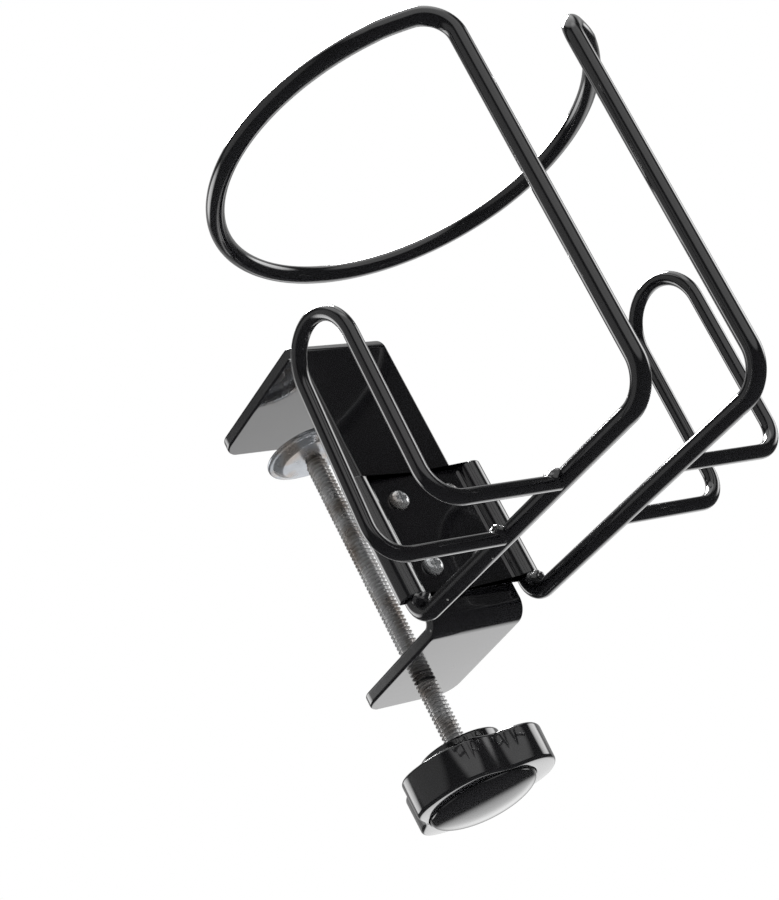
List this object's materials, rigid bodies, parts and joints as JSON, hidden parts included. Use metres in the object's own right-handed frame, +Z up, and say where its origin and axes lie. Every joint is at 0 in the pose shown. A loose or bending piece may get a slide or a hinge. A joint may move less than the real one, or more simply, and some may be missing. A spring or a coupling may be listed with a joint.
{
  "type": "desk clamp cup holder",
  "caption": "Bent steel desk clamp with a star-knob screw and swivel-type pressure pad, carrying a wire cradle with a cup ring and side loops on a pressed plate.",
  "frame": {"origin": "on the upper jaw's underside, where the clamp screw's axis meets it", "axes": "+Z up along the clamp screw, -Y outwards from the desk to the cup, X across the clamp"},
  "size_m": [0.1238, 0.1707, 0.1596],
  "materials": {
    "black_wire": "gloss black paint on bent steel wire",
    "black_steel": "gloss black paint on steel strip and sheet",
    "zinc": "bright zinc plate",
    "black_plastic": "gloss black moulded plastic"
  },
  "bodies": {
    "frame": {"cradle_wire": "black_wire", "side_loop_left": "black_wire", "side_loop_right": "black_wire", "weld_left_front": "black_wire", "weld_left_back": "black_wire", "weld_left_leg": "black_wire", "weld_right_front": "black_wire", "weld_right_back": "black_wire", "weld_right_leg": "black_wire", "clamp_bracket": "black_steel", "mounting_plate": "black_steel", "plate_screw_lower_left": "zinc", "plate_screw_lower_right": "zinc", "plate_screw_upper_left": "zinc", "plate_screw_upper_right": "zinc"},
    "pad": {"pressure_pad": "zinc"},
    "screw": {"clamp_screw": "zinc", "knob_body": "black_plastic", "knob_cap": "black_plastic"}
  },
  "joints": [
    {"name": "screw_travel", "type": "slide", "parent": "frame", "child": "pad", "axis": [0, 0, 1], "range_m": [-0.0729, 0.0126]},
    {"name": "screw_turn", "type": "hinge", "parent": "pad", "child": "screw", "pos_m": [0, 0, -0.06], "axis": [0, 0, 1], "range_deg": [-20664, 3564]}
  ],
  "couplings": [
    {"joint": "screw_travel", "follows": "screw_turn", "m_per_rad": 0.00020213}
  ]
}
